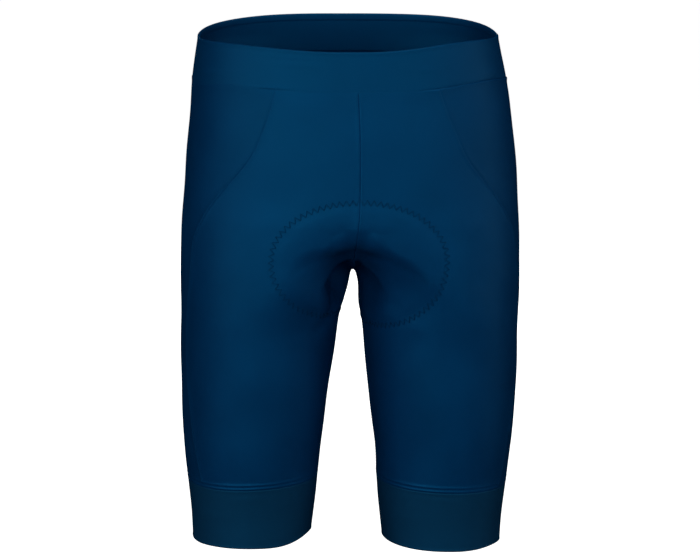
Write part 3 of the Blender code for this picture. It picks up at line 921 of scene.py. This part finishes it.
def leg_band(leg, material):
    """A tube of double cloth from the band seam down to its rolled hem."""
    share, past, inset, outside = wall_profile(LEG_BAND_UPS, LEG_BAND_CLOTH)
    angle = np.linspace(-math.pi, math.pi, RING_COLUMNS, endpoint=False)
    top = BAND_SEAM - EDGE_STEPS[0]
    bottom = HEM + 0.5 * LEG_BAND_CLOTH + risen(HEM_RISES, leg.side, angle / math.pi)
    height = top + share * (bottom - top) - past
    grid = form_point(height, angle + 0.0 * height)
    from_seam, from_hem = top - height, height - bottom
    relief = HEM_BEAD * bump_at(from_hem, HEM_BEAD_REACH) - SEAM_TUCK * bump_at(from_seam, LEG_TUCK_REACH)
    relief += ridge_share(angle, leg.side) * ridges_relief(BAND_RIDGES, from_seam)
    relief += creases_relief(LEG_BAND_CREASES, leg.side, np.degrees(angle), height)
    moved = np.where(outside > 0, relief, 0.0) - inset
    rings = posed(grid + level(outward(grid)) * moved[..., None], leg)
    band_tube("leg_band_" + leg.name, rings, share, inset, LEG_BAND_KNITTED, material)


# ---------------- Seat pad


def pad_line(row, toward, side):
    """The pad's points along one row, from the middle seam out to its sewn edge."""
    line = half_line(row, toward, side)
    crossing = int(np.argmax(oval_level(line, PAD_OVAL, toward, side) >= 1.0))
    return at_lengths(line, np.linspace(0.0, lengths_along(line)[crossing], PAD_COLUMNS + 1))


def pad_walls(leg, toward):
    """One quarter of the pad: its outer and inner points, from its oval's top down to its lower edge."""
    shares, heights = middle_seam(toward)
    first = float(np.interp(PAD_FLAT_END - PAD_TOPS[toward], -heights, shares))
    last = 1.0 + (CROTCH - PAD_OVAL.bottoms[leg.side] - PAD_FLAT_END) / LEG_LENGTH
    rows = np.concatenate([np.linspace(first, 1.0, PAD_HIP_ROWS), np.linspace(1.0, last, PAD_LEG_ROWS)[1:]])
    grid = np.array([pad_line(row, toward, leg.side) for row in rows])
    out = outward(grid)
    from_crossing = np.linalg.norm(grid - np.array([0.0, 0.0, CROTCH]), axis=-1)
    under = PAD_UNDER + PAD_CROSSING * bump_at(from_crossing, PAD_CROSSING_REACH) + folded_in(grid, leg.side)
    inside = 1.0 - oval_level(grid, PAD_OVAL, toward, leg.side)
    thick = PAD_EDGE + (PAD_FULL - PAD_EDGE) * smooth(inside / PAD_SLOPE)
    thick -= PAD_STITCH_SINK * bump_at(inside * PAD_OVAL.half_width - PAD_STITCH_INSET, PAD_STITCH_REACH)
    return posed(grid - out * under[..., None], leg), posed(grid - out * (under + thick)[..., None], leg)


def seat_pad(material):
    """Foam in a cloth cover inside the crotch seams, thick in its middle and thin at its sewn edge."""
    points, faces = [], []
    for toward in (-1, 1):
        for leg in LEGS:
            outer, inner = pad_walls(leg, toward)
            number = outer[..., 0].size
            cells, _, _ = quads(*outer.shape[:2], first=len(points))
            edges = np.arange(number).reshape(outer.shape[:2]) + len(points)
            points += [*outer.reshape(-1, 3), *inner.reshape(-1, 3)]
            faces += cells.tolist() + (cells[:, ::-1] + number).tolist()
            for edge in (edges[0], edges[-1], edges[:, -1]):
                faces += rim(edge, number).tolist()
    piece = new_piece("shell_seat_pad", points, faces, material, PAD_SHARP, weld=WELD)
    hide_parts("seat_pad")


# ---------------- Stitching


def stitches(corners, up, lift, sink, steps=7):
    """Paths of stitches from each point to the next, arched over the cloth and sunk at both ends."""
    share = np.linspace(0.0, 1.0, steps)[None, :, None]
    paths = corners[:-1, None, :] * (1.0 - share) + corners[1:, None, :] * share
    arch = (lift + sink) * np.sin(math.pi * share) ** STITCH_ARCH_POWER - sink
    middle = unit(up[:-1] + up[1:])
    return paths + arch * middle[:, None, :], middle


def form_depth(x, height, toward):
    """How far in front or behind the middle the form is, at a place seen from the front."""
    x = np.hypot(x, saddle(height))
    across, deep = ring_reach(x, toward, height)
    squareness = read_table(RINGS, "squareness", height)
    share = np.clip(1.0 - (np.abs(x - ring_middle(height)) / across) ** squareness, 0.0, 1.0)
    return toward * deep * share ** (1.0 / squareness)


def oval_path(toward, side):
    """The zigzag's line on one side of the body, from the middle seam's top round to the inner leg seam."""
    turned = np.linspace(0.5 * math.pi, -0.5 * math.pi, FINE)
    middle, power = SEWN_OVAL.middle, 2.0 / SEWN_OVAL.squareness
    reach = np.where(turned > 0, PAD_TOPS[toward] - middle, middle - SEWN_OVAL.bottoms[side])
    x = SEWN_OVAL.half_width * np.abs(np.cos(turned)) ** power
    height = middle + reach * np.sign(turned) * np.abs(np.sin(turned)) ** power
    inner_x = np.sqrt(np.maximum(inner_edge(height) ** 2 - saddle(height) ** 2, 0.0))
    on_leg = (height > CROTCH) | (x > inner_x)
    x, height = x[on_leg], height[on_leg]
    return np.stack([x, form_depth(x, height, toward), height], axis=-1)


def pad_zigzag(material):
    """The zigzag stitching that shows round the seat pad's edge, one loop in four runs."""
    paths, ups = [], []
    for leg in LEGS:
        for toward in (-1, 1):
            path = oval_path(toward, leg.side)
            total = lengths_along(path)[-1]
            count = round(total / ZIGZAG_STEP)
            spine = at_lengths(path, np.linspace(ZIGZAG_FROM_MIDDLE, total - ZIGZAG_FROM_INSEAM, count))
            out = outward(spine)
            swing = 0.5 * ZIGZAG_WIDTH * np.where(np.arange(count) % 2, 1.0, -1.0)[:, None]
            corners = spine + swing * np.cross(unit(np.gradient(spine, axis=0)), out)
            corners += out * (soft_relief(corners, toward, leg.side) + ZIGZAG_RISE)[:, None]
            places = posed(corners, leg)
            run, up = stitches(places, posed(corners + out, leg) - places, ZIGZAG_LIFT, ZIGZAG_SINK)
            paths.append(run)
            ups.append(up)
    stitch_mesh("pad_zigzag", np.concatenate(paths), np.concatenate(ups), ZIGZAG_THREAD, material)


def seam_stitches(lines, material):
    """Small straight stitches along lines of (points, outward directions)."""
    paths, ups = [], []
    for points, out in lines:
        total = lengths_along(points)[-1]
        at = np.linspace(STITCH_FROM_END, total - STITCH_FROM_END, 2 * round(total / (2.0 * STITCH_STEP)))
        places, directions = at_lengths(points, at), at_lengths(points, at, out)
        run, up = stitches(places, directions, STITCH_LIFT, STITCH_SINK, steps=5)
        paths.append(run[::2])
        ups.append(up[::2])
    stitch_mesh("seam_stitches", np.concatenate(paths), np.concatenate(ups), STITCH_THREAD, material, sides=5)


# ---------------- Materials


def new_material(name):
    """A new material and its shader."""
    material = bpy.data.materials.new(name)
    material.use_nodes = True
    return material, material.node_tree.nodes["Principled BSDF"]


def set_inputs(material, node, inputs):
    """Sets a node's inputs, or links those whose value is another node's output."""
    for key, value in inputs.items():
        if isinstance(value, bpy.types.NodeSocket):
            material.node_tree.links.new(value, node.inputs[key])
        else:
            node.inputs[key].default_value = value


def add_node(material, kind, inputs):
    node = material.node_tree.nodes.new(kind)
    set_inputs(material, node, inputs)
    return node


def add_bands(material, direction, inputs):
    """A texture of soft bands, one after another in a direction."""
    bands = add_node(material, "ShaderNodeTexWave", inputs)
    bands.bands_direction = direction
    return bands.outputs["Fac"]


def add_noise(material, inputs):
    return add_node(material, "ShaderNodeTexNoise", inputs).outputs["Fac"]


def add_math(material, operation, inputs):
    result = add_node(material, "ShaderNodeMath", inputs)
    result.operation = operation
    return result.outputs["Value"]


def add_relief(material, height, strength, distance):
    """Directions for the shader from a surface's fine height."""
    inputs = {"Height": height, "Strength": strength, "Distance": distance}
    return add_node(material, "ShaderNodeBump", inputs).outputs["Normal"]


def add_ramp(material, factor, dark, light, start=0.0, end=1.0):
    """The colour between two others, by a factor from start to end."""
    ramp = add_node(material, "ShaderNodeValToRGB", {"Fac": factor})
    for element, place, colour in zip(ramp.color_ramp.elements, (start, end), (dark, light)):
        element.position = place
        element.color = (*colour, 1.0)
    return ramp.outputs["Color"]


def knit_material(knit):
    """A stretch knit: fine wales and courses in its relief, and in its colour slow uneven tone and painted
    shade in the gaps between its loops.
    """
    material, shader = new_material(knit.name)
    place = add_node(material, "ShaderNodeTexCoord", {})
    flat, solid = place.outputs["UV"], place.outputs["Object"]
    across, up = WAVE_SCALE / knit.wale, WAVE_SCALE / (COURSE_SHARE * knit.wale)
    wales = add_bands(material, "X", {
        "Vector": flat, "Scale": across, "Distortion": 0.4, "Detail": 1.0, "Detail Scale": 0.6,
    })
    courses = add_bands(material, "Y", {"Vector": flat, "Scale": up, "Distortion": 0.8})
    loops = add_math(material, "MULTIPLY", {0: wales, 1: courses})
    fuzz = add_noise(material, {"Vector": solid, "Scale": 420.0, "Detail": 3.0})
    slow = add_noise(material, {"Vector": solid, "Scale": 17.0, "Detail": 4.0, "Roughness": 0.55})
    surface = add_math(material, "MULTIPLY_ADD", {0: fuzz, 1: FUZZ_SHARE, 2: loops})
    # The colour's factor: slow uneven tone, lifted on the loops, so that the gaps between them get painted
    # shade.
    tone_and_loop_shade = add_math(material, "MULTIPLY_ADD", {0: loops, 1: LOOP_SHADE, 2: slow})
    rough = add_node(material, "ShaderNodeMapRange", {
        "Value": slow, "To Min": knit.roughness - 0.05, "To Max": knit.roughness + 0.06,
    })
    set_inputs(material, shader, {
        "Base Color": add_ramp(material, tone_and_loop_shade, knit.shade, knit.colour, start=0.30, end=0.78),
        "Normal": add_relief(material, surface, knit.relief, distance=0.0003),
        "Roughness": rough.outputs["Result"],
        "Specular IOR Level": 1.0,
        "Specular Tint": GLOSS_TINT,
    })
    return material


def thread_material(name, colour):
    """Twisted thread: fine slanting strands in its relief, and painted shade in its colour in the grooves
    between them.
    """
    material, shader = new_material(name)
    place = add_node(material, "ShaderNodeTexCoord", {}).outputs["Object"]
    strands = add_bands(material, "DIAGONAL", {"Vector": place, "Scale": 900.0})
    # The grooves between the strands are darkened in colour: painted shade.
    dark = [THREAD_SHADE * channel for channel in colour]
    set_inputs(material, shader, {
        "Base Color": add_ramp(material, strands, dark, colour),
        "Normal": add_relief(material, strands, 0.4, distance=0.0001),
        "Roughness": 0.55,
        "Specular IOR Level": 0.7,
        "Specular Tint": GLOSS_TINT,
    })
    return material


# ---------------- Floor, light and camera


def floor():
    """A plain pale floor, well below the hems: the garment is held up at its waist."""
    mesh = bpy.data.meshes.new("floor")
    corners = [(x * FLOOR_HALF, y * FLOOR_HALF, 0.0) for x, y in ((-1, -1), (1, -1), (1, 1), (-1, 1))]
    mesh.from_pydata(corners, [], [(0, 1, 2, 3)])
    plane = bpy.data.objects.new("floor", mesh)
    plane.location.z = FLOOR_HEIGHT
    material, shader = new_material("floor")
    set_inputs(material, shader, {
        "Base Color": (0.8, 0.8, 0.8, 1.0),
        "Roughness": 0.9,
        "Emission Color": (1.0, 1.0, 1.0, 1.0),
        "Emission Strength": 1.0,
    })
    mesh.materials.append(material)
    plane.visible_diffuse = False
    plane.visible_glossy = False
    bpy.context.scene.collection.objects.link(plane)


def light_from(lamp):
    """A soft, wide light that faces the middle of the garment."""
    data = bpy.data.lights.new(lamp.name, "AREA")
    data.shape = "RECTANGLE"
    data.size, data.size_y = lamp.width, lamp.height
    data.energy = lamp.power
    lit = bpy.data.objects.new(lamp.name, data)
    turned, raised = math.radians(lamp.azimuth), math.radians(lamp.elevation)
    flat, rise = LAMP_DISTANCE * math.cos(raised), LAMP_DISTANCE * math.sin(raised)
    middle = Vector((0.0, 0.0, LIGHT_MIDDLE))
    lit.location = middle + Vector((flat * math.sin(turned), -flat * math.cos(turned), rise))
    lit.rotation_euler = (middle - lit.location).to_track_quat("-Z", "Y").to_euler()
    lit.visible_glossy = lamp.glosses
    bpy.context.scene.collection.objects.link(lit)


def world():
    """A white surround that shows behind the garment, and lights no surface itself."""
    surround = bpy.data.worlds.new("surround")
    surround.use_nodes = True
    background = surround.node_tree.nodes["Background"]
    background.inputs["Color"].default_value = (1.0, 1.0, 1.0, 1.0)
    background.inputs["Strength"].default_value = 1.0
    surround.cycles_visibility.diffuse = False
    surround.cycles_visibility.glossy = False
    bpy.context.scene.world = surround


def camera():
    """The photograph's view: a long lens, a little above and to the wearer's right, with a slight roll."""
    data = bpy.data.cameras.new("camera")
    data.sensor_width = 36.0
    data.lens = CAMERA_LENS
    data.clip_end = 60.0
    view = bpy.data.objects.new("camera", data)
    across, ahead = CAMERA_REACH * math.sin(CAMERA_TURN), CAMERA_REACH * math.cos(CAMERA_TURN)
    place = Vector((across, -ahead, CAMERA_HEIGHT))
    forward = (Vector((0.0, 0.0, CAMERA_AIM)) - place).normalized()
    right = forward.cross(Vector((0.0, 0.0, 1.0))).normalized()
    up = right.cross(forward)
    rolled_right = right * math.cos(CAMERA_ROLL) + up * math.sin(CAMERA_ROLL)
    rolled_up = up * math.cos(CAMERA_ROLL) - right * math.sin(CAMERA_ROLL)
    turned = Matrix((rolled_right, rolled_up, -forward)).transposed().to_4x4()
    view.matrix_world = Matrix.Translation(place) @ turned
    bpy.context.scene.collection.objects.link(view)
    bpy.context.scene.camera = view


# ---------------- The whole scene


def main():
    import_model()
    knits = {knit.name: knit_material(knit) for knit in KNITS}
    dark_thread = thread_material("dark_thread", DARK_THREAD)
    plain_thread = thread_material("plain_thread", PLAIN_THREAD)
    lines = []
    for leg in LEGS:
        for toward, knit in ((-1, "body_knit"), (1, "side_knit")):
            outer, up = panel(leg, toward, knits[knit])
            for column in SEAM_STITCH_COLUMNS:
                lines.append((outer[SEAM_STITCH_ROWS, column], up[SEAM_STITCH_ROWS, column]))
        leg_band(leg, knits["leg_band_knit"])
    waistband(knits["waistband_knit"])
    seat_pad(knits["pad_knit"])
    pad_zigzag(dark_thread)
    seam_stitches(lines, plain_thread)
    floor()
    world()
    for lamp in LAMPS:
        light_from(lamp)
    camera()
    bpy.context.scene.view_settings.view_transform = "Standard"
    bpy.context.scene.view_settings.look = "None"


main()
